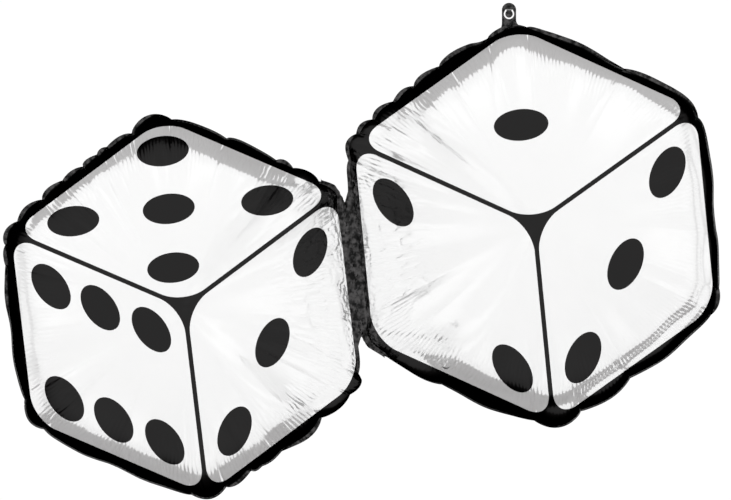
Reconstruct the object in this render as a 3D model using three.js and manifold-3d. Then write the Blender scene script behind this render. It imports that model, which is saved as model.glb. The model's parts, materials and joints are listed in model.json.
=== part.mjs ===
// A pair of giant dice as one shaped foil balloon: two pillows of metallised film, sealed all
// round, joined by a flat web, hung by a die-cut tab and filled through a self-sealing valve.
// Millimetres. +Z up, +X to the right, the printed front faces -Y, and Y = 0 is the seam plane.
// The origin is the centre of the hanging eye.
import * as THREE from 'three';
import { mergeVertices } from 'three/addons/utils/BufferGeometryUtils.js';
import Module from 'manifold-3d';

const wasm = await Module();
wasm.setup();

// Driving dimensions
const DIE_SIZE = 250; // centre to corner of the right die's hexagon
const LEFT_SCALE = 0.954; // the left die is slightly smaller
const RIGHT_LEAN = THREE.MathUtils.degToRad(5.55); // both dice lean anticlockwise, seen from the front
const LEFT_LEAN = THREE.MathUtils.degToRad(6.8);
const RIGHT_CENTRE = new THREE.Vector2(31.5, -262.1); // x and z from the hanging eye
const LEFT_CENTRE = new THREE.Vector2(-403.7, -364.5);
const FULLNESS = 0.5; // how far each film bulges from the seam plane, over the die's size
const WEB_CENTRE = new THREE.Vector2(-194.1, -317.5);
const WEB_LEAN = THREE.MathUtils.degToRad(6.94);
const WEB_LENGTH = 185;
const WEB_HALF_WIDTH = 5; // from the fold line to the edge of each die's seam
const SEAM_WIDTH = 5; // the heat-sealed margin round each die
const FILM = 0.6; // wall of every film
const PLY_GAP = 0.3; // between the front and the back film
const PIECE_GAP = 0.3; // between neighbouring pieces
const FOLD_CLEARANCE = 0.3; // from the fold line to each half of the web
const TAB_CLEARANCE = 0.7; // from the tab's crease to the film on each side of it
const TAB_WIDTH = 17.7;
const TAB_TOP = 13.8;
const TAB_CREASE = -8;
const EYE_RADIUS = 6.4; // outer edge of the horseshoe slit
const EYE_SLIT = 1.9;
const EYE_NECK = 2.6; // half the width of the neck that holds the eye's disc
const INLET_PLACE = new THREE.Vector2(-110.9, -174.5); // from the right die's centre
const INLET_WIDTH = 11.4;
const INLET_DROP = 3.4;
const INLET_SLIT = 0.9;
const VALVE_WIDTH = 32;
const VALVE_LENGTH = 92;
const VALVE_ROOT = 8; // how far the valve reaches below the inlet, towards the seam
const VALVE_DEPTH = 12; // from the front film to the valve, along Y
const VALVE_WALL = 0.6;

const ROUND_STEPS = 60;
const DOME_STEPS = 7;

const RIGHT_DIE = { size: DIE_SIZE, lean: RIGHT_LEAN, centre: RIGHT_CENTRE, webSide: -1 };
const LEFT_DIE = { size: DIE_SIZE * LEFT_SCALE, lean: LEFT_LEAN, centre: LEFT_CENTRE, webSide: 1 };
const WEB_NORMAL = new THREE.Vector2(Math.cos(WEB_LEAN), Math.sin(WEB_LEAN));

function foil(color, metalness, roughness) {
  return new THREE.MeshStandardMaterial({ color, metalness, roughness });
}

function printedFoil() {
  return foil(0xeeeeee, 0.25, 0.3);
}

function blackFoil() {
  return foil(0x141414, 0.2, 0.3);
}

function valveFilm() {
  return foil(0xdfe3e2, 0, 0.45);
}

// Distance from a die's centre to its cut edge. The angle runs from +Z towards +X. The edge is a
// hexagon with soft corners and bowed sides, cut straight along the web.
function edgeRadius(die, angle) {
  const turn = 6 * (angle + die.lean);
  const bow = 0.95 + 0.0415 * Math.cos(turn) + 0.009 * Math.cos(2 * turn) + 0.005 * Math.cos(3 * turn);
  const toWeb = WEB_CENTRE.clone().sub(die.centre).dot(WEB_NORMAL) * die.webSide - WEB_HALF_WIDTH;
  const facing = new THREE.Vector2(Math.sin(angle), Math.cos(angle)).dot(WEB_NORMAL) * die.webSide;
  const straight = facing > 0 ? toWeb / facing : Infinity;
  return Math.min(die.size * bow, straight);
}

function seamRadius(die, angle) {
  return edgeRadius(die, angle) - SEAM_WIDTH;
}

// Height of an inflated film over its seam, from 1 at the centre to 0 at the seam.
function pillow(share) {
  return Math.sqrt(Math.max(0, 1 - share ** 3));
}

function bulge(die) {
  return die.size * FULLNESS - FILM - PLY_GAP / 2;
}

// One film: a dome and its flat seam margin. side is -1 for the front and 1 for the back.
function filmGeometry(die, side) {
  const rows = Array.from({ length: DOME_STEPS + 1 }, (_, row) => {
    return Math.sin((Math.PI / 2) * (row / DOME_STEPS));
  });
  const inside = PLY_GAP / 2;
  const outside = inside + FILM;
  const outer = rows.map((share) => [share * die.size, outside + bulge(die) * pillow(share)]);
  const inner = rows.map((share) => [share * (die.size - FILM), inside + bulge(die) * pillow(share)]);
  const margin = die.size + SEAM_WIDTH;
  const profile = [...inner, [margin, inside], [margin, outside], ...outer.reverse()];
  const points = profile.map(([radius, height]) => new THREE.Vector2(radius, side * height));
  const ordered = side > 0 ? points : points.reverse();
  const geometry = new THREE.LatheGeometry(ordered, ROUND_STEPS, -die.lean, 2 * Math.PI);
  const places = geometry.attributes.position;
  for (let i = 0; i < places.count; i += 1) {
    const radius = Math.hypot(places.getX(i), places.getZ(i));
    const angle = Math.atan2(places.getX(i), places.getZ(i));
    const seam = seamRadius(die, angle);
    const fitted = radius <= die.size ? (radius * seam) / die.size : seam + radius - die.size;
    places.setX(i, fitted * Math.sin(angle));
    places.setZ(i, fitted * Math.cos(angle));
  }
  return geometry;
}

// A flat outline in the seam plane, x and z, given thickness from nearY towards +Y.
function plate(shape, nearY, thickness) {
  const geometry = new THREE.ExtrudeGeometry(shape, {
    depth: thickness,
    bevelEnabled: false,
    curveSegments: 10,
  });
  geometry.rotateX(Math.PI / 2);
  geometry.translate(0, nearY + thickness, 0);
  return geometry;
}

function plyPlate(shape, side) {
  return plate(shape, side > 0 ? PLY_GAP / 2 : -PLY_GAP / 2 - FILM, FILM);
}

function toSolid(geometry) {
  const bare = geometry.clone();
  bare.deleteAttribute('normal');
  bare.deleteAttribute('uv');
  const merged = mergeVertices(bare, 1e-4);
  return new wasm.Manifold(new wasm.Mesh({
    numProp: 3,
    vertProperties: new Float32Array(merged.attributes.position.array),
    triVerts: new Uint32Array(merged.index.array),
  }));
}

function toGeometry(solid) {
  const mesh = solid.getMesh();
  const geometry = new THREE.BufferGeometry();
  geometry.setAttribute('position', new THREE.BufferAttribute(mesh.vertProperties, 3));
  geometry.setIndex(new THREE.BufferAttribute(mesh.triVerts, 1));
  return geometry;
}

function named(name, geometry, material, centre = new THREE.Vector2()) {
  const mesh = new THREE.Mesh(geometry, material);
  mesh.name = name;
  mesh.position.set(centre.x, 0, centre.y);
  return mesh;
}

// The film's flare up to the hanging tab, in the right die's own coordinates.
function tabFlareShape() {
  const top = TAB_CREASE - TAB_CLEARANCE;
  const half = TAB_WIDTH / 2;
  const shape = new THREE.Shape();
  shape.moveTo(-half, top);
  shape.quadraticCurveTo(-half - 1, top - 4, -half - 8, top - 11.5);
  shape.lineTo(-half - 6, top - 14);
  shape.lineTo(half - 2, top - 5.5);
  shape.lineTo(half + 20, top - 9);
  shape.lineTo(half + 21, top - 6.2);
  shape.quadraticCurveTo(half + 5, top - 4.5, half, top);
  shape.closePath();
  return shape;
}

function tabFlare(side) {
  const geometry = plyPlate(tabFlareShape(), side);
  geometry.translate(-RIGHT_CENTRE.x, 0, -RIGHT_CENTRE.y);
  return toSolid(geometry);
}

// The tongue under the inlet's crescent slit. grow widens it on its curved side.
function inletShape(grow, raise) {
  const half = INLET_WIDTH / 2 + grow;
  const shape = new THREE.Shape();
  shape.moveTo(half, raise);
  shape.lineTo(-half, raise);
  shape.quadraticCurveTo(-half * 0.7, -INLET_DROP - grow, 0, -INLET_DROP - grow);
  shape.quadraticCurveTo(half * 0.7, -INLET_DROP - grow, half, raise);
  return shape;
}

function inletTool(grow, raise) {
  const geometry = plate(inletShape(grow, raise), -DIE_SIZE, DIE_SIZE);
  geometry.translate(INLET_PLACE.x, 0, INLET_PLACE.y);
  return toSolid(geometry);
}

function rightFrontFilm() {
  const film = toSolid(filmGeometry(RIGHT_DIE, -1)).add(tabFlare(-1));
  return toGeometry(film.subtract(inletTool(INLET_SLIT, PIECE_GAP + FILM)));
}

function rightBackFilm() {
  return toGeometry(toSolid(filmGeometry(RIGHT_DIE, 1)).add(tabFlare(1)));
}

function inletFlap() {
  return toGeometry(toSolid(filmGeometry(RIGHT_DIE, -1)).intersect(inletTool(0, 0)));
}

// Half of the web, from the fold line out to one die's seam. towards is 1 for the right half.
function webShape(towards) {
  const near = FOLD_CLEARANCE;
  const far = WEB_HALF_WIDTH - PIECE_GAP;
  const half = WEB_LENGTH / 2;
  const corners = [[near, -half + 3], [far, -half], [far, half], [near, half - 3]];
  const along = new THREE.Vector2(-WEB_NORMAL.y, WEB_NORMAL.x);
  const places = corners.map(([out, up]) => {
    return WEB_CENTRE.clone().addScaledVector(WEB_NORMAL, towards * out).addScaledVector(along, up);
  });
  return new THREE.Shape(towards > 0 ? places : places.reverse());
}

function tabShape() {
  const half = TAB_WIDTH / 2;
  const foot = TAB_CREASE + TAB_CLEARANCE;
  const shoulder = TAB_TOP - half;
  const shape = new THREE.Shape();
  shape.moveTo(-half, foot);
  shape.lineTo(half, foot);
  shape.lineTo(half, shoulder);
  shape.absarc(0, shoulder, half, 0, Math.PI, false);
  shape.closePath();
  shape.holes.push(eyeOutline(EYE_RADIUS, EYE_NECK + EYE_SLIT, EYE_RADIUS - 0.4));
  return shape;
}

// A round eye with a neck that rises to the crease at the top of the horseshoe slit.
function eyeOutline(radius, neck, top) {
  const start = Math.PI - Math.acos(neck / radius);
  const shape = new THREE.Shape();
  shape.moveTo(neck, top);
  shape.lineTo(-neck, top);
  shape.absarc(0, 0, radius, start, 3 * Math.PI - start, false);
  shape.closePath();
  return shape;
}

function eyeFlapShape() {
  return eyeOutline(EYE_RADIUS - EYE_SLIT, EYE_NECK, EYE_RADIUS - 0.4 - 2 * TAB_CLEARANCE);
}

// One ply of the valve: a ribbon that follows the inside of the front film at the given depth,
// from `from` to `to` millimetres above the inlet, and square to the nearest side of the die.
function valvePly(depth, from, to) {
  const towardsCentre = Math.PI / 6 - RIGHT_LEAN;
  const along = new THREE.Vector2(Math.sin(towardsCentre), Math.cos(towardsCentre));
  const across = new THREE.Vector2(along.y, -along.x);
  const geometry = new THREE.BoxGeometry(VALVE_WIDTH, VALVE_WALL, to - from, 4, 1, 12);
  const places = geometry.attributes.position;
  for (let i = 0; i < places.count; i += 1) {
    const point = INLET_PLACE.clone();
    point.addScaledVector(across, places.getX(i));
    point.addScaledVector(along, places.getZ(i) + (from + to) / 2);
    const share = point.length() / seamRadius(RIGHT_DIE, Math.atan2(point.x, point.y));
    const filmY = -bulge(RIGHT_DIE) * pillow(share);
    places.setXYZ(i, point.x, filmY + depth + places.getY(i), point.y);
  }
  return geometry;
}

const model = new THREE.Group();

const dice = [
  ['left_die_front_film', filmGeometry(LEFT_DIE, -1), LEFT_CENTRE],
  ['left_die_back_film', filmGeometry(LEFT_DIE, 1), LEFT_CENTRE],
  ['right_die_front_film', rightFrontFilm(), RIGHT_CENTRE],
  ['right_die_back_film', rightBackFilm(), RIGHT_CENTRE],
  ['inlet_flap', inletFlap(), RIGHT_CENTRE],
];
for (const [name, geometry, centre] of dice) {
  model.add(named(name, geometry, printedFoil(), centre));
}

for (const [face, side] of [['front', -1], ['back', 1]]) {
  model.add(named(`web_left_${face}_ply`, plyPlate(webShape(-1), side), blackFoil()));
  model.add(named(`web_right_${face}_ply`, plyPlate(webShape(1), side), blackFoil()));
  model.add(named(`hang_tab_${face}_ply`, plyPlate(tabShape(), side), blackFoil()));
  model.add(named(`eye_flap_${face}_ply`, plyPlate(eyeFlapShape(), side), blackFoil()));
}

const valveStep = VALVE_WALL + PIECE_GAP;
const frontPly = valvePly(VALVE_DEPTH, INLET_WIDTH / 2, VALVE_LENGTH - VALVE_ROOT);
const backPly = valvePly(VALVE_DEPTH + valveStep, -VALVE_ROOT, VALVE_LENGTH - VALVE_ROOT);
model.add(named('valve_front_ply', frontPly, valveFilm(), RIGHT_CENTRE));
model.add(named('valve_back_ply', backPly, valveFilm(), RIGHT_CENTRE));

export default model;
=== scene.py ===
"""The looks of a pair of giant dice made as one shaped foil balloon. Metres, +Z up, the front faces -Y."""

import json
import math

import bmesh
import bpy
import numpy as np
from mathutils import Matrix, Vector
from mathutils.geometry import delaunay_2d_cdt


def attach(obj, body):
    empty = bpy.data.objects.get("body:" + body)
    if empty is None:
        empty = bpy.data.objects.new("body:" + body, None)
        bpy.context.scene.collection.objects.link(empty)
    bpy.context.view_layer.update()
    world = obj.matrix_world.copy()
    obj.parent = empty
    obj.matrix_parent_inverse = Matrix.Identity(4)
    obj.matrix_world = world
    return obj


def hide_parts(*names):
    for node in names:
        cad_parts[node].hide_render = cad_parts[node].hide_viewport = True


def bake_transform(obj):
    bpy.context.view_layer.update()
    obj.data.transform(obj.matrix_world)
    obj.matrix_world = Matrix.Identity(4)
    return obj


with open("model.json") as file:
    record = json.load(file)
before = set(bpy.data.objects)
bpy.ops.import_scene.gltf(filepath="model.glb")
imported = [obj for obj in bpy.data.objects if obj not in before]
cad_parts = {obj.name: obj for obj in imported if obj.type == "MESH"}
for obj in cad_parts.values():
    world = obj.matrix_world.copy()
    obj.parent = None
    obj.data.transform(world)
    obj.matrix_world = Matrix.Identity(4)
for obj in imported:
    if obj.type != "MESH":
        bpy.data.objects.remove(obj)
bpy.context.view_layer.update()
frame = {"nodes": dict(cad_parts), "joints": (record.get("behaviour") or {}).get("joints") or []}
JOINTS = {joint["name"]: joint for joint in frame["joints"]}

# Driving dimensions: the die is measured from its centre to a corner of its printed hexagon.
DIE_SIZE = 0.250
LEFT_SCALE = 0.954
RIGHT_LEAN = math.radians(5.55)
LEFT_LEAN = math.radians(6.8)
RIGHT_CENTRE = np.array([0.0315, -0.2621])
LEFT_CENTRE = np.array([-0.4037, -0.3645])
WEB_HALF_WIDTH = 0.005
SEAM_WIDTH = 0.005
FULLNESS = 0.5
# The cut edge's distance from the centre, over the die's size: its mean, and its swings with the corners.
EDGE_MEAN = 0.95
EDGE_SWINGS = (0.0415, 0.009, 0.005)
# The same for the flat cut, which inflation draws in.
FLAT_SCALE = 1.18
FLAT_MEAN = 0.93
FLAT_SWING = 0.005

# The cloth simulation's mesh: its spacing, how far apart its rows lie over that, and how it starts.
SIM_SPACING = 0.011
SIM_ROW_SHARE = 0.866
SIM_RISE = 0.01
SIM_RISE_SHARE = 8
SIM_FRAMES = 30

TAB_CREASE = JOINTS["tab_flex"]["pos_m"][2]
TAB_WIDTH = 0.0177
TAB_TOP = 0.0138
TAB_OVERLAP = 0.0035
EYE_RADIUS = 0.0064
EYE_SLIT = 0.0017
EYE_NECK = 0.0032
EYE_CREASE = JOINTS["eye_flap_push"]["pos_m"][2]
INLET_PLACE = np.array([-0.1109, -0.1745])
INLET_HALF = 0.0057
INLET_DROP = 0.0022
INLET_SLIT = 0.0015
INLET_SPACING = 0.00055
# How far the valve's plies lie from the seam plane, over how far they do in the frame.
VALVE_LAY = 0.62
FILM_THICKNESS = 0.0003
# Beside the web the film is flatter: by how much, how far in, and the steepest that it may rise.
WEB_FLATTENING = 0.80
WEB_FLAT_REACH = 0.30
WEB_STEEPEST = math.radians(42)
# The web's own sheet: how it fills the corners between the rims, and where its notches begin.
WEB_FILLET = 0.0086
WEB_NOTCH = 0.084
WEB_NOTCH_SLOPE = 2.4
WEB_HEM = 0.003
WEB_REACH = np.array([0.040, 0.125])
WEB_CRUMPLE = 0.0016
WEB_CRUMPLE_SPAN = 0.24
WEB_SPACING = 0.0011

WEB_POINT = np.array(JOINTS["web_fold"]["pos_m"])[[0, 2]]
WEB_AXIS = np.array(JOINTS["web_fold"]["axis"])[[0, 2]]
WEB_NORMAL = np.array([WEB_AXIS[1], -WEB_AXIS[0]])

# The camera looks along +Y, and the print is laid out to look square from its distance.
VIEW_WIDTH = 0.9097
VIEW_CENTRE = np.array([-0.1786, -0.2938])
LENS = 200.0
SENSOR = 36.0
VIEW_DISTANCE = LENS / SENSOR * VIEW_WIDTH


class Die:
    """One die's outline: a hexagon with soft corners and bowed sides, cut straight along the web."""

    def __init__(self, name, size, lean, centre, web_side, pips, pinches, swells, rims, steeps, shelves,
                 seed):
        self.name = name
        self.size = size
        self.lean = lean
        self.centre = centre
        self.web_side = web_side
        self.pips = pips
        self.seed = seed
        self.web_distance = float((WEB_POINT - centre) @ WEB_NORMAL) * web_side - WEB_HALF_WIDTH
        turns = np.linspace(0, 2 * math.pi, 2881)
        seam = self.seam(turns)
        ring = np.stack([seam * np.sin(turns), seam * np.cos(turns)], 1)
        steps = np.linalg.norm(np.diff(ring, axis=0), axis=1)
        self.turns = turns
        self.lengths = np.concatenate([[0], np.cumsum(steps)])
        self.perimeter = self.lengths[-1]
        self.pinches = self.length_at(np.radians(list(pinches)))
        self.pulls = np.array(list(pinches.values()))
        self.swells = np.array([swells.get(pinch, 1.0) for pinch in pinches])
        self.rims = rims
        self.steeps = steeps
        self.shelves = shelves

    def edge(self, turn):
        wave = 6 * (turn + self.lean)
        bow = EDGE_MEAN
        for number, swing in enumerate(EDGE_SWINGS, 1):
            bow = bow + swing * np.cos(number * wave)
        facing = (np.sin(turn) * WEB_NORMAL[0] + np.cos(turn) * WEB_NORMAL[1]) * self.web_side
        straight = np.where(facing > 0.05, self.web_distance / np.maximum(facing, 0.05), 9.0)
        return np.minimum(self.size * bow, straight)

    def seam(self, turn):
        return self.edge(turn) - SEAM_WIDTH

    def flat(self, turn):
        """Radius of the flat cut that inflates to the seam."""
        wave = 6 * (turn + self.lean)
        return FLAT_SCALE * self.size * (FLAT_MEAN + FLAT_SWING * np.cos(wave))

    def turn_at(self, length):
        return np.interp(np.mod(length, self.perimeter), self.lengths, self.turns)

    def length_at(self, turn):
        return np.interp(np.mod(turn, 2 * math.pi), self.turns, self.lengths)

    def panel(self, length):
        """The stretch between two pinches that a place is in: its number, width and the share across it."""
        first = self.pinches[0]
        ends = np.append(self.pinches, first + self.perimeter)
        length = np.mod(length - first, self.perimeter) + first
        number = np.clip(np.searchsorted(ends, length, side="right") - 1, 0, len(self.pinches) - 1)
        width = ends[number + 1] - ends[number]
        return number, width, (length - ends[number]) / width


TOP_ONE = [(0.51, 0.49)]
LOW_TWO = [(0.795, 0.22), (0.205, 0.805)]
RIGHT_THREE = [(0.79, 0.20), (0.50, 0.49), (0.205, 0.785)]
TOP_FIVE = [(0.83, 0.81), (0.215, 0.785), (0.53, 0.505), (0.815, 0.21), (0.23, 0.19)]
LOW_SIX = [(u, v) for v in (0.205, 0.795) for u in (0.215, 0.505, 0.785)]
LEFT_THREE = [(0.79, 0.19), (0.50, 0.49), (0.21, 0.78)]

# Where the seam is pinched, in degrees clockwise from the top of each die, and how hard, from 0 to 1.
RIGHT_PINCHES = {30: 1.0, 57: 1.0, 92: 0.2, 109: 0.4, 117: 0.4, 148: 1.0, 166: 1.0, 180: 1.0, 210: 0.6,
                 228: 0.3, 241: 0.5, 254: 0.5, 268: 0.5, 289: 1.0, 297: 0.8, 303: 1.0, 311: 0.8, 319: 1.0,
                 329: 0.7, 346: 0.8, 358: 1.0}
LEFT_PINCHES = {14: 1.0, 32: 1.0, 38: 0.8, 47: 1.0, 59: 0.5, 70: 0.5, 82: 0.5, 94: 0.5, 111: 1.0, 118: 0.7,
                129: 1.0, 146: 0.4, 154: 0.4, 158: 1.0, 167: 1.0, 178: 0.5, 206: 0.1, 229: 1.0, 240: 0.7,
                262: 0.1, 283: 0.3, 289: 0.5, 297: 1.0, 307: 1.0, 316: 0.6, 324: 0.8, 330: 0.7, 334: 0.5,
                343: 1.0, 356: 1.0}

# Which stretches after a pinch stand out further than the others, or less far.
RIGHT_SWELLS = {289: 1.3, 303: 1.2, 358: 0.85}
LEFT_SWELLS = {14: 0.85, 129: 1.5, 289: 1.2, 343: 1.4, 356: 0.8}

# What follows is set every 30 degrees clockwise from the top.
# How far the rim stands out, in millimetres.
RIGHT_RIMS = (2.0, 2.4, 1.5, 0.5, 2.9, 5.0, 5.5, 6.5, 6.0, 5.0, 5.8, 7.3, 2.0)
LEFT_RIMS = (3.2, 2.2, 2.2, 3.0, 3.5, 4.3, 3.6, 3.3, 3.6, 6.0, 4.5, 5.6, 3.2)
# How steep the film is further in: 1 makes a wide band of shade, -1 none.
RIGHT_STEEPS = (-0.1, -0.6, -1.0, -0.4, -0.3, -0.2, 0.2, 0.6, -0.4, -0.6, 0.5, 0.1, -0.1)
LEFT_STEEPS = (0.3, 1.0, 0.4, -0.6, -0.4, -0.2, 0.0, 0.1, 0.0, 0.0, -0.9, -0.5, 0.3)
# How deep a groove runs beside the rim.
RIGHT_SHELVES = (0.0, 0.0, 0.4, 0.7, 1.0, 1.0, 0.2, 0.0, 0.0, 0.0, 0.0, 0.0, 0.0)
LEFT_SHELVES = (0.0, 0.0, 0.0, 0.0, 0.3, 0.0, 0.0, 0.0, 0.0, 0.2, 0.0, 0.0, 0.0)

RIGHT_PIPS = (TOP_ONE, LOW_TWO, RIGHT_THREE)
LEFT_PIPS = (TOP_FIVE, LOW_SIX, LEFT_THREE)
RIGHT = Die("right_die", DIE_SIZE, RIGHT_LEAN, RIGHT_CENTRE, -1, RIGHT_PIPS, RIGHT_PINCHES, RIGHT_SWELLS,
            RIGHT_RIMS, RIGHT_STEEPS, RIGHT_SHELVES, 11)
LEFT = Die("left_die", DIE_SIZE * LEFT_SCALE, LEFT_LEAN, LEFT_CENTRE, 1, LEFT_PIPS, LEFT_PINCHES, LEFT_SWELLS,
           LEFT_RIMS, LEFT_STEEPS, LEFT_SHELVES, 23)


# ---- noise ----

class Noise:
    """Smooth value noise on a table that wraps round."""

    def __init__(self, seed, columns, rows=64):
        self.table = np.random.default_rng(seed).uniform(-1, 1, (max(4, int(columns)), rows))

    def __call__(self, u, v=0.0):
        """u runs over one wrap as it goes from 0 to 1; v is in table rows."""
        columns, rows = self.table.shape
        x = np.asarray(u) * columns
        y = np.asarray(v) + 0 * x
        i = np.floor(x).astype(int)
        j = np.floor(y).astype(int)
        fx = x - i
        fy = y - j
        fx = fx * fx * (3 - 2 * fx)
        fy = fy * fy * (3 - 2 * fy)
        t = self.table
        a = t[i % columns, j % rows] * (1 - fx) + t[(i + 1) % columns, j % rows] * fx
        b = t[i % columns, (j + 1) % rows] * (1 - fx) + t[(i + 1) % columns, (j + 1) % rows] * fx
        return a * (1 - fy) + b * fy


def smoothstep(low, high, value):
    t = np.clip((value - low) / (high - low), 0, 1)
    return t * t * (3 - 2 * t)


# ---- the inflated shape, from a cloth simulation ----

def triangulate(points, border=None):
    faces = [list(range(border))] if border else []
    made = delaunay_2d_cdt([Vector(p) for p in points], [], faces, 1 if border else 0, 1e-7)
    return np.array(made[0], float), np.array(made[2])


def inflate(die):
    """Inflates two flat films that are sewn round their edge.

    Returns the front film's flat and full places, and how many of them lie on the seam."""
    rim = 2 * math.pi * die.size * FLAT_SCALE * FLAT_MEAN
    count = int(rim / SIM_SPACING)
    turns = np.arange(count) / count * 2 * math.pi
    ring = np.stack([np.sin(turns), np.cos(turns)], 1) * die.flat(turns)[:, None]
    reach = die.size * FLAT_SCALE
    grid = []
    for row, z in enumerate(np.arange(-reach, reach, SIM_SPACING * SIM_ROW_SHARE)):
        x = np.arange(-reach, reach, SIM_SPACING) + (row % 2) * SIM_SPACING / 2
        grid.append(np.stack([x, np.full_like(x, z)], 1))
    grid = np.concatenate(grid)
    inside = np.hypot(*grid.T) < die.flat(np.arctan2(grid[:, 0], grid[:, 1])) - 0.7 * SIM_SPACING
    flat, faces = triangulate(np.concatenate([ring[::-1], grid[inside]]), count)
    total = len(flat)
    other = np.arange(total)
    other[count:] += total - count
    share = np.hypot(*flat.T) / die.flat(np.arctan2(flat[:, 0], flat[:, 1]))
    rise = np.minimum(1, (1 - share) * SIM_RISE_SHARE) * SIM_RISE
    front = np.stack([flat[:, 0], -rise, flat[:, 1]], 1)
    back = np.stack([flat[count:, 0], rise[count:], flat[count:, 1]], 1)
    mesh = bpy.data.meshes.new("inflating")
    both = np.concatenate([faces, other[faces][:, ::-1]])
    mesh.from_pydata(np.concatenate([front, back]).tolist(), [], both.tolist())
    piece = bpy.data.objects.new("inflating", mesh)
    bpy.context.scene.collection.objects.link(piece)
    bpy.context.view_layer.objects.active = piece
    if mesh.polygons[0].normal.y > 0:
        mesh.flip_normals()
    cloth = piece.modifiers.new("Cloth", "CLOTH")
    settings = cloth.settings
    settings.quality = 5
    settings.mass = 0.02
    settings.tension_stiffness = 40
    settings.compression_stiffness = 0
    settings.shear_stiffness = 20
    settings.bending_stiffness = 2
    settings.use_pressure = True
    settings.uniform_pressure_force = 20
    settings.effector_weights.gravity = 0
    cloth.collision_settings.use_collision = False
    cloth.point_cache.frame_start = 1
    cloth.point_cache.frame_end = SIM_FRAMES
    scene = bpy.context.scene
    for step in range(1, SIM_FRAMES + 1):
        scene.frame_set(step)
    full = piece.evaluated_get(bpy.context.evaluated_depsgraph_get()).data
    places = np.empty(len(full.vertices) * 3, np.float32)
    full.vertices.foreach_get("co", places)
    bpy.data.objects.remove(piece)
    scene.frame_set(1)
    return flat, places.reshape(-1, 3)[:total].astype(float), count


RADIAL_TERMS = 4
HARMONICS = (1, 2, 3, 4, 5, 6, 12)


def film_terms(share, turn):
    """Smooth functions of the flat film: the share of the way to the seam, and the turn round it."""
    columns = [share ** (2 * k) for k in range(RADIAL_TERMS)]
    for harmonic in HARMONICS:
        for k in range(1, RADIAL_TERMS):
            columns.append(share ** (2 * k) * np.cos(harmonic * turn))
            columns.append(share ** (2 * k) * np.sin(harmonic * turn))
    return np.stack(columns, 1)


def film_shape(die):
    """Fits how far out and how far forward each point of the flat film ends up."""
    flat, full, count = inflate(die)
    turn = np.arctan2(flat[:, 0], flat[:, 1])
    share = np.hypot(*flat.T) / die.flat(turn)
    full_turn = np.arctan2(full[:, 0], full[:, 2])
    order = np.argsort(full_turn[:count])
    seam = np.hypot(full[:count, 0], full[:count, 2])[order]
    reach = np.interp(full_turn, full_turn[:count][order], seam, period=2 * math.pi)
    out = np.hypot(full[:, 0], full[:, 2]) / reach
    height = -full[:, 1] / -full[:, 1].min()
    terms = film_terms(share, turn)
    inner = (1 - share ** 2)[:, None]
    spread = np.linalg.lstsq(terms * inner * share[:, None], out - share, rcond=None)[0]
    rise = np.linalg.lstsq(terms * inner, height, rcond=None)[0]
    return spread, rise


# ---- creases, wrinkles and puckers ----

# Heights of the film's relief, and the widths and pitches that go with them, in metres. A chance is what a
# random number from 0 to 1 can add.
BULGE = 0.0013
LIFT = 0.0080
GROOVE = 0.0070
GROOVE_DEPTH = 0.054
GROOVE_WIDTH = 0.012
CREASE = 0.0007
CREASE_CHANCE = 0.0009
CREASE_WIDTH = 0.0015
COMB = 0.00055
COMB_CHANCE = 0.00030
COMB_PITCH = 0.0056
FAINT_COMB = 0.00014
FAINT_COMB_PITCH = 0.0068
CRUMPLE = 0.00070
SCRUNCH = 0.0006

# How the seam margin swings, stands out between its pinches, is pulled in at them, and curls backward.
SEAM_SWING = 0.0035
SEAM_RIPPLE = 0.0008
SCALLOP = 0.0075
SCALLOP_WIDTH = 0.070
PINCH = 0.0045
FLAP_INSET = 0.0034
CURL_INSET = 0.0038
CURL_BACK = 0.0040
SCALLOP_REACH = 0.060
SWING_REACH = 0.050

def traits(die, seed, number):
    """Three random numbers from 0 to 1 for each stretch between pinches."""
    return np.random.default_rng(seed).uniform(0, 1, (len(die.pinches), 3))[number].T


def around(values, turn):
    """Values that are set at equal steps all the way round, at each turn."""
    return np.interp(turn, np.linspace(0, 2 * math.pi, len(values)), values)


def web_nearness(die, turn, low=0.84):
    """1 along the web, and 0 where the seam is free."""
    facing = (np.sin(turn) * WEB_NORMAL[0] + np.cos(turn) * WEB_NORMAL[1]) * die.web_side
    return smoothstep(low, 0.95, facing)


def tab_nearness(die, length):
    """1 at the foot of the hanging tab, and 0 away from it."""
    if die.web_side > 0:
        return 0 * length
    foot = die.length_at(math.atan2(-die.centre[0], TAB_CREASE - die.centre[1]))
    away = np.mod(length - foot + die.perimeter / 2, die.perimeter) - die.perimeter / 2
    return 1 - smoothstep(0.036, 0.056, np.abs(away))


def pleats(die, length, depth, pitch, seed):
    """Sharp-valleyed pleats square to the seam, a whole number of them between two pinches, from 0 to 1."""
    _, width, across = die.panel(length)
    count = np.maximum(1, np.round(width / pitch))
    along = length / die.perimeter
    drift = 0.30 * Noise(seed, die.perimeter / (2 * pitch))(along, depth / (3 * pitch))
    return np.abs(np.sin(math.pi * (count * across + drift))) ** 0.8


def bulges(depth, width, arch):
    """Each stretch between pinches stands out a little."""
    reach = 0.6 * width + 0.060
    bulge = np.minimum(BULGE, 0.03 * width) * (arch ** 0.7 - 0.6)
    bulge *= smoothstep(0.0, 0.020, depth) * (1 - smoothstep(0.2, 1.0, depth / reach))
    return bulge


def lifts(die, turn, depth, spread, arch):
    """Steeper or flatter film further in, which widens or narrows the band of shade."""
    lift = LIFT * (around(die.steeps, turn) + 0.5 * (spread - 0.5) * arch ** 0.4)
    lift *= smoothstep(0.040, 0.095, depth) * (1 - smoothstep(0.095, 0.200, depth))
    return lift


def grooves(die, turn, depth, arch):
    """The groove that runs beside the rim in places."""
    away = (depth - GROOVE_DEPTH) / GROOVE_WIDTH
    return -GROOVE * around(die.shelves, turn) * (0.5 + 0.5 * arch) * np.exp(-away ** 2)


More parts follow.
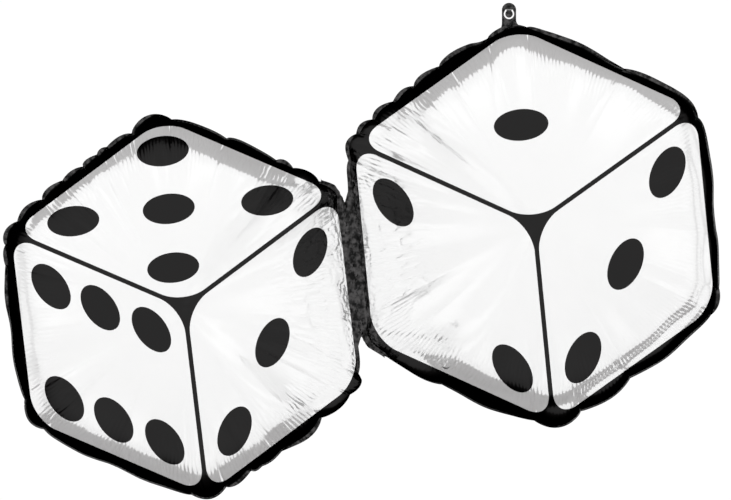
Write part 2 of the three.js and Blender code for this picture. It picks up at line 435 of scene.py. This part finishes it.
def creases(die, seed, number, width, across, depth):
    """A long crease that runs in from each pinch."""
    nearest = (number + (across > 0.5)) % len(die.pinches)
    size, reach, lean = traits(die, seed, nearest)
    away = np.where(across > 0.5, across - 1, across) * width * (1 - depth / (1.3 * die.size))
    away = away - (lean - 0.5) * 0.25 * depth
    reach = 0.085 + 0.075 * reach
    pull = 0.4 + 0.6 * die.pulls[nearest]
    crease = -(CREASE + CREASE_CHANCE * size) * pull * np.exp(-np.abs(away) / CREASE_WIDTH)
    crease *= smoothstep(0.0, 0.020, depth) * (1 - smoothstep(0.4, 1.0, depth / reach))
    return crease


def combs(die, seed, length, depth, strength, spread, kink, web):
    """Fine pleats square to the seam, and fainter ones that reach further in."""
    ends = 0.006 * Noise(seed, die.perimeter / 0.006)(length / die.perimeter)
    reach = 0.088 + 0.020 * spread + 0.020 * web + ends
    share = smoothstep(0.046, 0.066, depth) + (0.1 + 0.9 * strength ** 2) * smoothstep(0.0, 0.012, depth)
    fine = (COMB + COMB_CHANCE * strength) * np.minimum(share, 1)
    fine = fine * pleats(die, length, depth, COMB_PITCH, seed + 1)
    fine *= (1 - 0.5 * web) * (1 - smoothstep(0.70, 1.0, depth / reach))
    faint = FAINT_COMB * pleats(die, length, depth, FAINT_COMB_PITCH, seed + 2)
    faint *= smoothstep(0.0, 0.02, depth) * (1 - smoothstep(0.6, 1.0, depth / (0.125 + 0.050 * kink)))
    return fine, faint


def crumples(die, seed, along, depth, web):
    """Creases that run every way beside the web, and finer ones close to it."""
    coarse = np.abs(Noise(seed, die.perimeter / 0.0060)(along, depth / 0.028))
    other = np.abs(Noise(seed + 1, die.perimeter / 0.0130)(along, depth / 0.022 + 7))
    crumple = np.exp(-coarse / 0.14) + np.exp(-other / 0.08)
    crumple *= -CRUMPLE * web * smoothstep(0.0, 0.015, depth) * (1 - smoothstep(0.090, 0.170, depth))
    scrunch = Noise(seed + 2, die.perimeter / 0.0045)(along, depth / 0.0070)
    scrunch *= SCRUNCH * web * smoothstep(0.0, 0.006, depth) * (1 - smoothstep(0.025, 0.040, depth))
    return crumple, scrunch


def wrinkles(die, side, length, turn, depth):
    """Height of the film's relief along its outward normal, in metres."""
    seed = die.seed + (100 if side > 0 else 0)
    along = length / die.perimeter
    number, width, across = die.panel(length)
    strength, spread, kink = traits(die, seed, number)
    web = web_nearness(die, turn)
    arch = np.sin(math.pi * across)
    bulge = bulges(depth, width, arch)
    lift = lifts(die, turn, depth, spread, arch)
    groove = grooves(die, turn, depth, arch)
    crease = creases(die, seed + 1, number, width, across, depth)
    fine, faint = combs(die, seed + 2, length, depth, strength, spread, kink, web)
    crumple, scrunch = crumples(die, seed + 5, along, depth, web)
    return bulge + lift + groove + crease + fine + faint + crumple + scrunch


def seam_wave(die, length):
    """How far the seam swings out of its plane."""
    number, width, across = die.panel(length)
    swing = traits(die, die.seed + 50, number)[0] * 2 - 1
    along = length / die.perimeter
    wave = np.minimum(SEAM_SWING, 0.08 * width) * swing * np.sin(math.pi * across)
    wave += SEAM_RIPPLE * Noise(die.seed + 51, die.perimeter / 0.009)(along)
    return wave * (1 - tab_nearness(die, length))


def scallop(die, length, turn):
    """How far the rim is pushed out between its pinches and pulled in at them, in metres."""
    number, width, across = die.panel(length)
    swell, skew, _ = traits(die, die.seed + 60, number)
    swell = (0.85 + 0.3 * swell) * die.swells[number]
    arch = np.sin(math.pi * across ** (0.65 + 0.6 * skew)) ** 0.8
    pull = die.pulls[number] * (1 - across) + die.pulls[(number + 1) % len(die.pinches)] * across
    narrow = (np.minimum(width, SCALLOP_WIDTH) / SCALLOP_WIDTH) ** 0.35
    out = pull * (SCALLOP * narrow * swell * arch - PINCH)
    out += 0.001 * around(die.rims, turn) - FLAP_INSET * (1 - curl(die, length, turn))
    return out * (1 - web_nearness(die, turn, 0.87)) * (1 - tab_nearness(die, length))


# The middle of the stretch where the margin faces forward, anticlockwise from the top.
FLAPS_TURN = math.radians(50)


def curl(die, length, turn):
    """0 where the seam margin faces forward, 1 where it has curled backward."""
    number, _, across = die.panel(length)
    chance = traits(die, die.seed + 61, number)[0]
    forward = np.maximum(smoothstep(0.71, 0.82, np.cos(turn + FLAPS_TURN)), smoothstep(0.80, 0.84, chance))
    flat = np.sin(math.pi * across ** 0.6) ** 0.7 * forward
    return (1 - flat) * (1 - web_nearness(die, turn))


# ---- the print ----

def box_distance(u, v, half, corner):
    qu = np.abs(u - 0.5) - (half - corner)
    qv = np.abs(v - 0.5) - (half - corner)
    return np.hypot(np.maximum(qu, 0), np.maximum(qv, 0)) + np.minimum(np.maximum(qu, qv), 0) - corner


LINE_WIDTH = 0.0057
FACE_CORNER = 0.13
PIP_RADIUS = 0.1115


def ink(die, x, z):
    """The cube drawing, as a distance that is positive on black and negative on white."""
    places = np.stack([x, z], 1) - die.centre
    corners = {}
    for name, degrees in (("right", 30), ("left", 150), ("low", 270)):
        angle = math.radians(degrees) + die.lean
        corners[name] = die.size * np.array([math.cos(angle), math.sin(angle)])
    faces = (("left", "right"), ("left", "low"), ("right", "low"))
    half = 0.5 - LINE_WIDTH / 2 / (die.size * math.sin(math.pi / 3))
    white = np.full(len(x), 9.0)
    pips = np.full(len(x), 9.0)
    for (a, b), spots in zip(faces, die.pips):
        basis = np.stack([corners[a], corners[b]], 1)
        u, v = np.linalg.inv(basis) @ places.T
        white = np.minimum(white, box_distance(u, v, half, FACE_CORNER))
        for spot in spots:
            pips = np.minimum(pips, np.hypot(u - spot[0], v - spot[1]) - PIP_RADIUS)
    return np.maximum(white, -pips) * die.size


def printed(die, places):
    """The print's distance at each place on a film: square to the viewer in front, mirrored behind."""
    scale = VIEW_DISTANCE / (VIEW_DISTANCE + np.minimum(places[:, 1], 0))
    x = VIEW_CENTRE[0] + (places[:, 0] - VIEW_CENTRE[0]) * scale
    z = VIEW_CENTRE[1] + (places[:, 2] - VIEW_CENTRE[1]) * scale
    return ink(die, x, z)


# ---- meshes ----

def split(places, faces, field):
    """Cuts every triangle that field changes sign in, so that the zero line becomes mesh edges."""
    tiny = 1e-7
    field = np.where(np.abs(field) < tiny, tiny, field)
    edges = np.sort(np.concatenate([faces[:, [0, 1]], faces[:, [1, 2]], faces[:, [2, 0]]]), axis=1)
    edges, where = np.unique(edges, axis=0, return_inverse=True)
    where = where.reshape(3, -1).T
    crossed = (field[edges[:, 0]] > 0) != (field[edges[:, 1]] > 0)
    cut = np.full(len(edges), -1)
    cut[crossed] = len(places) + np.arange(crossed.sum())
    a, b = edges[crossed].T
    t = (field[a] / (field[a] - field[b]))[:, None]
    t = np.clip(t, 0.02, 0.98)
    places = np.concatenate([places, places[a] * (1 - t) + places[b] * t])
    cuts = cut[where]
    touched = (cuts >= 0).any(axis=1)
    made = [faces[~touched]]
    signs = [field[faces[~touched][:, 0]] > 0]
    for turn in range(3):
        i, j, k = turn, (turn + 1) % 3, (turn + 2) % 3
        lone = touched & (cuts[:, j] < 0)
        tip = faces[lone, i]
        p, q = cuts[lone, i], cuts[lone, k]
        b, c = faces[lone, j], faces[lone, k]
        made += [np.stack([tip, p, q], 1), np.stack([p, b, c], 1), np.stack([p, c, q], 1)]
        sign = field[tip] > 0
        signs += [sign, ~sign, ~sign]
    return places, np.concatenate(made), np.concatenate(signs)


def make_piece(name, places, faces, materials, which=None):
    """A smooth mesh of the given faces, without the places that no face uses."""
    used, corners = np.unique(faces, return_inverse=True)
    mesh = bpy.data.meshes.new(name)
    mesh.from_pydata(places[used].tolist(), [], corners.reshape(faces.shape).tolist())
    for material in materials:
        mesh.materials.append(material)
    if which is not None:
        mesh.polygons.foreach_set("material_index", np.asarray(which, np.int32))
    mesh.polygons.foreach_set("use_smooth", np.ones(len(mesh.polygons), bool))
    mesh.update()
    piece = bpy.data.objects.new(name, mesh)
    bpy.context.scene.collection.objects.link(piece)
    return piece


def vertex_normals(places, faces):
    corner = places[faces]
    normal = np.cross(corner[:, 1] - corner[:, 0], corner[:, 2] - corner[:, 0])
    total = np.zeros_like(places)
    for k in range(3):
        np.add.at(total, faces[:, k], normal)
    return total / np.maximum(np.linalg.norm(total, axis=1), 1e-12)[:, None]


# Up to each depth: how far apart the mesh's points lie along a ring, and from ring to ring.
RING_GAPS = ((0.105, 0.00094, 0.0024), (0.180, 0.00125, 0.0030), (math.inf, 0.0031, 0.0031))
MARGIN_RINGS = (1, 0.66, 0.33)
MARGIN_GAP = 0.0012


def ring_depths():
    """Depths of the mesh's rings from the seam, and how far apart its points lie on each."""
    rings = [(-SEAM_WIDTH * part, MARGIN_GAP) for part in MARGIN_RINGS]
    depth = 0.0
    while depth < DIE_SIZE * FLAT_SCALE:
        gap, step = next((gap, step) for limit, gap, step in RING_GAPS if depth < limit)
        rings.append((depth, gap))
        depth += step
    return rings


def flat_reach(die):
    return FLAT_MEAN * die.size * FLAT_SCALE


def film_points(die):
    """Points of the fine mesh: length along the seam, turn and depth from the seam."""
    lengths, depths = [], []
    for number, (depth, gap) in enumerate(ring_depths()):
        left = 1 - max(depth, 0) / flat_reach(die)
        if left <= 0.015:
            break
        count = max(6, int(die.perimeter * left / gap))
        lengths.append((np.arange(count) + 0.5 * (number % 2)) / count * die.perimeter)
        depths.append(np.full(count, depth))
    lengths.append(np.zeros(1))
    depths.append(np.full(1, flat_reach(die)))
    return np.concatenate(lengths), np.concatenate(depths)


def film_base(die, side, shape, turn, share):
    """The smooth inflated film, before its wrinkles: places relative to the die's centre."""
    terms = film_terms(share, turn)
    inner = 1 - share ** 2
    spread, rise = shape
    radius = die.seam(turn) * (share + inner * share * (terms @ spread))
    height = inner * (terms @ rise) * die.size * FULLNESS
    depth = np.maximum(1 - share, 0) * flat_reach(die)
    flattening = WEB_FLATTENING * (1 - smoothstep(0.0, WEB_FLAT_REACH, depth))
    ramp = math.tan(WEB_STEEPEST) * (die.seam(turn) - radius)
    excess = np.maximum(0, height * (1 - flattening) - ramp)
    height *= 1 - flattening * web_nearness(die, turn, 0.50)
    return radius, side * (height - excess * web_nearness(die, turn, 0.70))


def inlet_points(die, shape):
    """Extra points round the inlet, so that its slit can be cut cleanly."""
    x = np.arange(-0.008, 0.008, INLET_SPACING)
    z = np.arange(-0.0065, 0.003, INLET_SPACING)
    x, z = np.meshgrid(x, z)
    x = x.ravel() + INLET_PLACE[0]
    z = z.ravel() + INLET_PLACE[1]
    turn = np.mod(np.arctan2(x, z), 2 * math.pi)
    shares = np.linspace(0.3, 1, 200)
    radii, _ = film_base(die, -1, shape, np.full(200, turn.mean()), shares)
    share = np.interp(np.hypot(x, z) / die.seam(turn), radii / die.seam(turn.mean()), shares)
    return die.length_at(turn), (1 - share) * flat_reach(die)


def film(die, side, shape):
    """One film with its seam margin, and which places are on a margin that faces forward.
    side is -1 in front."""
    length, depth = film_points(die)
    if die is RIGHT and side < 0:
        more_length, more_depth = inlet_points(die, shape)
        box = (more_length.min(), more_length.max(), more_depth.min(), more_depth.max())
        clear = (length < box[0]) | (length > box[1]) | (depth < box[2]) | (depth > box[3])
        length = np.concatenate([length[clear], more_length])
        depth = np.concatenate([depth[clear], more_depth])
    turn = die.turn_at(length)
    share = 1 - depth / flat_reach(die)
    plan = np.stack([np.sin(turn), np.cos(turn)], 1) * share[:, None]
    _, faces = triangulate(plan)
    radius, height = film_base(die, side, shape, turn, np.minimum(share, 1))
    radius += np.maximum(-depth, 0)
    base = np.stack([radius * np.sin(turn), height, radius * np.cos(turn)], 1)
    corner = base[faces]
    facing = np.cross(corner[:, 1] - corner[:, 0], corner[:, 2] - corner[:, 0])[:, 1] * side
    faces = np.where((facing < 0)[:, None], faces[:, ::-1], faces)
    inside = np.maximum(depth, 0)
    relief = np.where(depth >= 0, wrinkles(die, side, length, turn, inside), 0)
    places = base + vertex_normals(base, faces) * relief[:, None]
    margin = np.clip(-depth / SEAM_WIDTH, 0, 1)
    curled = curl(die, length, turn)
    flap = (depth <= 0) & (curled < 0.6)
    curled = curled * margin
    push = scallop(die, length, turn) * (1 - smoothstep(0, SCALLOP_REACH, inside)) - CURL_INSET * curled
    places[:, 0] += push * np.sin(turn)
    places[:, 2] += push * np.cos(turn)
    places[:, 1] += seam_wave(die, length) * (1 - smoothstep(0.0, SWING_REACH, inside)) + CURL_BACK * curled
    places[:, 1] += np.where(depth <= 0, side * FILM_THICKNESS / 2, 0)
    places[:, 0] += die.centre[0]
    places[:, 2] += die.centre[1]
    return places, faces, flap


# ---- materials ----

def foil_material(name, color, metallic, roughness, tint=None, bump=0.12, grain=90, other=None):
    material = bpy.data.materials.new(name)
    material.use_nodes = True
    nodes = material.node_tree.nodes
    links = material.node_tree.links
    shader = nodes["Principled BSDF"]
    shader.inputs["Base Color"].default_value = (*color, 1)
    shader.inputs["Metallic"].default_value = metallic
    shader.inputs["Roughness"].default_value = roughness
    if tint is not None:
        shader.inputs["Specular Tint"].default_value = (*tint, 1)
    coords = nodes.new("ShaderNodeTexCoord")
    fine = nodes.new("ShaderNodeTexNoise")
    fine.inputs["Scale"].default_value = grain
    fine.inputs["Detail"].default_value = 3
    fine.inputs["Roughness"].default_value = 0.55
    # The second tone is painted highlight: the same noise that raises the bump lightens the colour towards
    # it, so the bump's crests are painted lighter and its dips keep the plain colour.
    if other is not None:
        share = nodes.new("ShaderNodeMapRange")
        share.inputs["From Min"].default_value = 0.40
        share.inputs["From Max"].default_value = 0.62
        painted_highlight_mix = nodes.new("ShaderNodeMix")
        painted_highlight_mix.data_type = "RGBA"
        painted_highlight_mix.inputs[6].default_value = (*color, 1)
        painted_highlight_mix.inputs[7].default_value = (*other, 1)
        links.new(fine.outputs["Fac"], share.inputs["Value"])
        links.new(share.outputs[0], painted_highlight_mix.inputs[0])
        links.new(painted_highlight_mix.outputs[2], shader.inputs["Base Color"])
    relief = nodes.new("ShaderNodeBump")
    relief.inputs["Strength"].default_value = bump
    relief.inputs["Distance"].default_value = 0.002
    links.new(coords.outputs["Object"], fine.inputs["Vector"])
    links.new(fine.outputs["Fac"], relief.inputs["Height"])
    links.new(relief.outputs["Normal"], shader.inputs["Normal"])
    return material


WHITE = foil_material("white_ink_on_foil", (0.95, 0.95, 0.95), 0.48, 0.08, bump=0.05)
BLACK = foil_material("black_ink_on_foil", (0.023, 0.0225, 0.0225), 1.0, 0.15, tint=(0, 0, 0), bump=0.08)
# Crinkled black foil: the bump is real relief, and the lighter second tone on the bump's crests is painted
# highlight in place of the glints of crumpled foil.
CRINKLED_FOIL_PAINTED_HIGHLIGHTS = foil_material("crinkled_black_foil", (0.012, 0.012, 0.012), 1.0, 0.24, tint=(0.1, 0.1, 0.1),
                         bump=1.0, grain=160, other=(0.080, 0.078, 0.078))


def inlet_fields(die, places):
    """Negative inside the inlet's crescent slit, and negative inside the tongue over it."""
    x = (places[:, 0] - die.centre[0] - INLET_PLACE[0]) / INLET_HALF
    z = places[:, 2] - die.centre[1] - INLET_PLACE[1]
    upper = -INLET_DROP * (1 - x ** 2)
    lower = -(INLET_DROP + INLET_SLIT) * (1 - x ** 2)
    behind = (places[:, 1] > 0) * 1.0
    return np.maximum(lower - z, z - upper) + behind, np.maximum(z, upper - z) + behind


def settle(piece, body, slot, *nodes):
    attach(piece, body)
    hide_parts(*nodes)


CRUMPLED_HALF_WIDTH = 0.020
CRUMPLED_HALF_LENGTH = 0.110


def beside_web(places):
    """Whether each place is in the crumpled strip on either side of the web."""
    away = places[:, [0, 2]] - WEB_POINT
    near = np.abs(away @ WEB_NORMAL) < CRUMPLED_HALF_WIDTH
    return near & (np.abs(away @ WEB_AXIS) < CRUMPLED_HALF_LENGTH)


def build_film(die, side, shape):
    places, faces, flap = film(die, side, shape)
    face_name = "front" if side < 0 else "back"
    node = f"{die.name}_{face_name}_film"
    if die is RIGHT and side < 0:
        places, faces, outside = split(places, faces, inlet_fields(die, places)[0])
        faces = faces[outside]
        places, faces, outside = split(places, faces, inlet_fields(die, places)[1])
        tongue = make_piece("inlet_tongue", places, faces[~outside], (WHITE,))
        settle(tongue, "inlet_flap", "printed_foil", "inlet_flap")
        faces = faces[outside]
    places, faces, black = split(places, faces, printed(die, places))
    flap = np.append(flap, np.zeros(len(places) - len(flap), bool))[faces].all(axis=1)
    # The margin flaps that face forward and the black beside the web take the crinkled foil, whose lighter
    # crests are painted highlights.
    ink_number = np.where(flap | (black & beside_web(places[faces].mean(axis=1))), 2, black)
    piece = make_piece(f"printed_{node}", places, faces, (WHITE, BLACK, CRINKLED_FOIL_PAINTED_HIGHLIGHTS), ink_number)
    settle(piece, die.name, "printed_foil", node)


def thicken(piece, thickness):
    """Gives a single sheet its two faces and its edge."""
    made = bmesh.new()
    made.from_mesh(piece.data)
    bmesh.ops.solidify(made, geom=made.faces[:], thickness=thickness)
    made.to_mesh(piece.data)
    made.free()


def rim_distance(die, x, z):
    """How far outside a die's rim each place is."""
    away = np.stack([x, z], 1) - die.centre
    turn = np.mod(np.arctan2(away[:, 0], away[:, 1]), 2 * math.pi)
    return np.hypot(*away.T) - die.edge(turn) - scallop(die, die.length_at(turn), turn)


def web_field(x, z):
    """Negative on the web: the strip between the rims, with a notch at each end, and a hem under each rim."""
    left = rim_distance(LEFT, x, z)
    right = rim_distance(RIGHT, x, z)
    between = -WEB_FILLET * np.log(np.exp(-left / WEB_FILLET) + np.exp(-right / WEB_FILLET))
    away = np.stack([x, z], 1) - WEB_POINT
    notch = np.abs(away @ WEB_AXIS) - WEB_NOTCH - WEB_NOTCH_SLOPE * np.abs(away @ WEB_NORMAL)
    return np.maximum(np.maximum(between, notch), -WEB_HEM - np.minimum(left, right))


def web_bend(x, z):
    """How far forward the web lies: it follows both seams' waves, and is crumpled between them."""
    away = np.stack([x, z], 1) - WEB_POINT
    along = away @ WEB_AXIS / WEB_CRUMPLE_SPAN
    across = np.clip(away @ WEB_NORMAL / WEB_HALF_WIDTH, -1, 1)
    waves = []
    for die in (LEFT, RIGHT):
        turn = np.arctan2(x - die.centre[0], z - die.centre[1])
        waves.append(seam_wave(die, die.length_at(turn)))
    crumple = Noise(301, 60)(along, across * 2.5 + 9) + 0.7 * Noise(302, 110)(along, across * 5 + 20)
    crumple = WEB_CRUMPLE * crumple * (1 - across ** 4)
    return -(waves[0] * (1 - across) + waves[1] * (1 + across)) / 2 - crumple


def build_web():
    """The crumpled weld between the dice, from one die's seam margin to the other's."""
    low = WEB_POINT - WEB_REACH
    high = WEB_POINT + WEB_REACH
    web = sheet_from("crumpled_web", web_field, low, high, WEB_SPACING, web_bend, CRINKLED_FOIL_PAINTED_HIGHLIGHTS,
                     2 * FILM_THICKNESS)
    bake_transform(web)
    plies = [f"web_{half_name}_{face}_ply" for half_name in ("left", "right") for face in ("front", "back")]
    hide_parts(*plies)


def sheet_from(name, field, low, high, spacing, bend, material, thickness=FILM_THICKNESS):
    """A flat sheet wherever field(x, z) is negative, with a cleanly cut edge, bent forward by bend(x, z)."""
    x = np.arange(low[0], high[0], spacing)
    z = np.arange(low[1], high[1], spacing)
    x, z = np.meshgrid(x, z, indexing="ij")
    rows, columns = x.shape
    places = np.stack([x.ravel(), 0 * x.ravel(), z.ravel()], 1)
    corner = (np.arange(rows - 1)[:, None] * columns + np.arange(columns - 1)).ravel()
    faces = np.concatenate([
        np.stack([corner, corner + columns, corner + columns + 1], 1),
        np.stack([corner, corner + columns + 1, corner + 1], 1),
    ])
    places, faces, outside = split(places, faces, field(places[:, 0], places[:, 2]))
    places[:, 1] = -bend(places[:, 0], places[:, 2])
    piece = make_piece(name, places, faces[~outside], (material,))
    thicken(piece, thickness)
    return piece


def eye_field(x, z, radius, neck, top=EYE_CREASE):
    """Negative inside a round eye with a neck up to its crease."""
    disc = np.hypot(x, z) - radius
    stem = np.maximum(np.abs(x) - neck, np.maximum(-z, z - top))
    return np.minimum(np.maximum(disc, z - top), stem)


TAB_FLARE = 0.011
TAB_SPACING = 0.0006
TONGUE_SPACING = 0.0005
TAB_FORWARD = 0.0006
TAB_CREASING = 0.0007


def flare(z, top, drop, power):
    """How far the tab's side has moved out by a height z, for a flare that starts at top."""
    return TAB_FLARE * (np.maximum(top - z, 0) / drop) ** power


def tab_field(x, z):
    """Negative on the tab: a round head, straight sides, and a flare on each side that runs into the rim."""
    shoulder = TAB_TOP - TAB_WIDTH / 2
    left_flare = flare(z, top=-0.0113, drop=0.0162, power=2.1)
    right_flare = flare(z, top=-0.0060, drop=0.0122, power=2.9)
    sides = np.abs(x) - TAB_WIDTH / 2 - np.where(x < 0, left_flare, right_flare)
    body = np.where(z > shoulder, np.hypot(x, z - shoulder) - TAB_WIDTH / 2, sides)
    away = np.hypot(x - RIGHT_CENTRE[0], z - RIGHT_CENTRE[1])
    foot = RIGHT.edge(np.arctan2(x - RIGHT_CENTRE[0], z - RIGHT_CENTRE[1])) - TAB_OVERLAP - away
    eye = eye_field(x, z, EYE_RADIUS, EYE_NECK + EYE_SLIT)
    return np.maximum(np.maximum(body, foot), -eye)


def tab_bend(x, z):
    """How far forward the tab lies: flat round its eye, creased at its foot."""
    creased = TAB_CREASING * Noise(401, 16)(x / 0.06 + 0.5, z / 0.004 + 20)
    return (TAB_FORWARD + creased) * (1 - smoothstep(-0.014, -0.005, z))


def build_tab():
    low = (-0.048, -0.048)
    high = (0.052, 0.0145)
    tab = sheet_from("hanging_tab", tab_field, low, high, TAB_SPACING, tab_bend, CRINKLED_FOIL_PAINTED_HIGHLIGHTS)
    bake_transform(tab)
    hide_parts("hang_tab_front_ply", "hang_tab_back_ply")

    def disc(x, z):
        return eye_field(x, z, EYE_RADIUS - EYE_SLIT, EYE_NECK, EYE_CREASE - FILM_THICKNESS)

    low = (-0.006, -0.006)
    high = (0.006, 0.0065)
    tongue = sheet_from("eye_tongue", disc, low, high, TONGUE_SPACING, tab_bend, CRINKLED_FOIL_PAINTED_HIGHLIGHTS)
    settle(tongue, "eye_flap", "black_foil", "eye_flap_front_ply", "eye_flap_back_ply")


def valve_material():
    material = foil_material("milky_valve_film", (0.80, 0.82, 0.82), 0.0, 0.35, bump=0.3)
    material.node_tree.nodes["Principled BSDF"].inputs["Transmission Weight"].default_value = 0.25
    return material


def build_valve():
    """The valve's two plies, laid nearer to the seam plane, because the film over them is flatter here."""
    material = valve_material()
    for node, body in (("valve_front_ply", "right_die"), ("valve_back_ply", "valve_leaf")):
        mesh = frame["nodes"][node].data.copy()
        mesh.materials.clear()
        mesh.materials.append(material)
        for vertex in mesh.vertices:
            vertex.co.y *= VALVE_LAY
        piece = bpy.data.objects.new(f"laid_{node}", mesh)
        bpy.context.scene.collection.objects.link(piece)
        settle(piece, body, "valve_film", node)


for die in (LEFT, RIGHT):
    shape = film_shape(die)
    build_film(die, -1, shape)
    build_film(die, 1, shape)
build_web()
build_tab()
build_valve()


# ---- camera, light and floor ----

# The grey begins where a reflection points this far behind the balloon.
BEHIND = 0.12
GREY = (0.115, 0.105, 0.105, 1)
GREY_RING_SHARE = 0.3
ROOM_LIGHT = 1.02
STRIPS_LIGHT = 0.12
FRONT_LIGHT = 0.04
LIGHT_STRIPS = 12.0


def look_along_y():
    data = bpy.data.cameras.new("camera")
    data.lens = LENS
    data.sensor_width = SENSOR
    data.clip_end = 100
    camera = bpy.data.objects.new("camera", data)
    camera.location = (VIEW_CENTRE[0], -VIEW_DISTANCE, VIEW_CENTRE[1])
    camera.rotation_euler = (math.pi / 2, 0, 0)
    bpy.context.scene.collection.objects.link(camera)
    bpy.context.scene.camera = camera


class WorldNodes:
    """Short names for the maths nodes of the world."""

    def __init__(self, tree):
        self.nodes = tree.nodes
        self.links = tree.links

    def put(self, socket, value):
        if hasattr(value, "is_linked"):
            self.links.new(value, socket)
        else:
            socket.default_value = value

    def math(self, operation, a, b=0.0):
        node = self.nodes.new("ShaderNodeMath")
        node.operation = operation
        self.put(node.inputs[0], a)
        self.put(node.inputs[1], b)
        return node.outputs[0]

    def ramp(self, value, low, high):
        node = self.nodes.new("ShaderNodeMapRange")
        node.interpolation_type = "SMOOTHSTEP"
        node.inputs["From Min"].default_value = low
        node.inputs["From Max"].default_value = high
        self.put(node.inputs["Value"], value)
        return node.outputs[0]


def studio_light():
    """A white room: light strips like spokes in front, a faint grey ring round the balloon, grey above and
    below behind it."""
    world = bpy.data.worlds.new("studio")
    bpy.context.scene.world = world
    world.use_nodes = True
    make = WorldNodes(world.node_tree)
    coords = make.nodes.new("ShaderNodeTexCoord")
    axes = make.nodes.new("ShaderNodeSeparateXYZ")
    make.links.new(coords.outputs["Generated"], axes.inputs[0])
    steep = make.math("ABSOLUTE", axes.outputs["Z"])
    behind = make.ramp(axes.outputs["Y"], BEHIND - 0.03, BEHIND + 0.03)
    high = make.ramp(steep, 0.50, 0.58)
    ring = make.math("SUBTRACT", 1.0, make.ramp(axes.outputs["Y"], 0.30, 0.40))
    ring = make.math("MULTIPLY", ring, GREY_RING_SHARE)
    grey = make.math("MULTIPLY", behind, make.math("MAXIMUM", high, ring))
    mix = make.nodes.new("ShaderNodeMix")
    mix.data_type = "RGBA"
    mix.inputs[6].default_value = (1.0, 1.0, 1.0, 1)
    mix.inputs[7].default_value = GREY
    make.links.new(grey, mix.inputs[0])
    around = make.math("ARCTAN2", axes.outputs["X"], axes.outputs["Z"])
    strips = make.ramp(make.math("COSINE", make.math("MULTIPLY", around, LIGHT_STRIPS)), -0.1, 0.9)
    outward = make.ramp(axes.outputs["Y"], -0.90, -0.40)
    in_front = make.math("SUBTRACT", 1.0, make.ramp(axes.outputs["Y"], -0.25, 0.05))
    strips = make.math("MULTIPLY", strips, make.math("MULTIPLY", outward, in_front))
    strength = make.math("ADD", ROOM_LIGHT, make.math("MULTIPLY", strips, STRIPS_LIGHT))
    strength = make.math("ADD", strength, make.math("MULTIPLY", in_front, FRONT_LIGHT))
    background = make.nodes["Background"]
    make.links.new(mix.outputs[2], background.inputs["Color"])
    make.links.new(strength, background.inputs["Strength"])


def pale_floor():
    """A wide floor below the balloon, which ends behind it just out of the camera's sight."""
    wide = 40.0
    behind = 10.0
    drop = -1.3
    corners = [(-wide, -wide, drop), (wide, -wide, drop), (wide, behind, drop), (-wide, behind, drop)]
    mesh = bpy.data.meshes.new("floor")
    mesh.from_pydata(corners, [], [(0, 1, 2, 3)])
    floor = bpy.data.objects.new("floor", mesh)
    bpy.context.scene.collection.objects.link(floor)
    material = bpy.data.materials.new("pale_floor")
    material.use_nodes = True
    shader = material.node_tree.nodes["Principled BSDF"]
    shader.inputs["Base Color"].default_value = (0.92, 0.92, 0.92, 1)
    shader.inputs["Roughness"].default_value = 0.7
    mesh.materials.append(material)
    floor.visible_glossy = False


look_along_y()
studio_light()
pale_floor()
bpy.context.scene.view_settings.view_transform = "Standard"
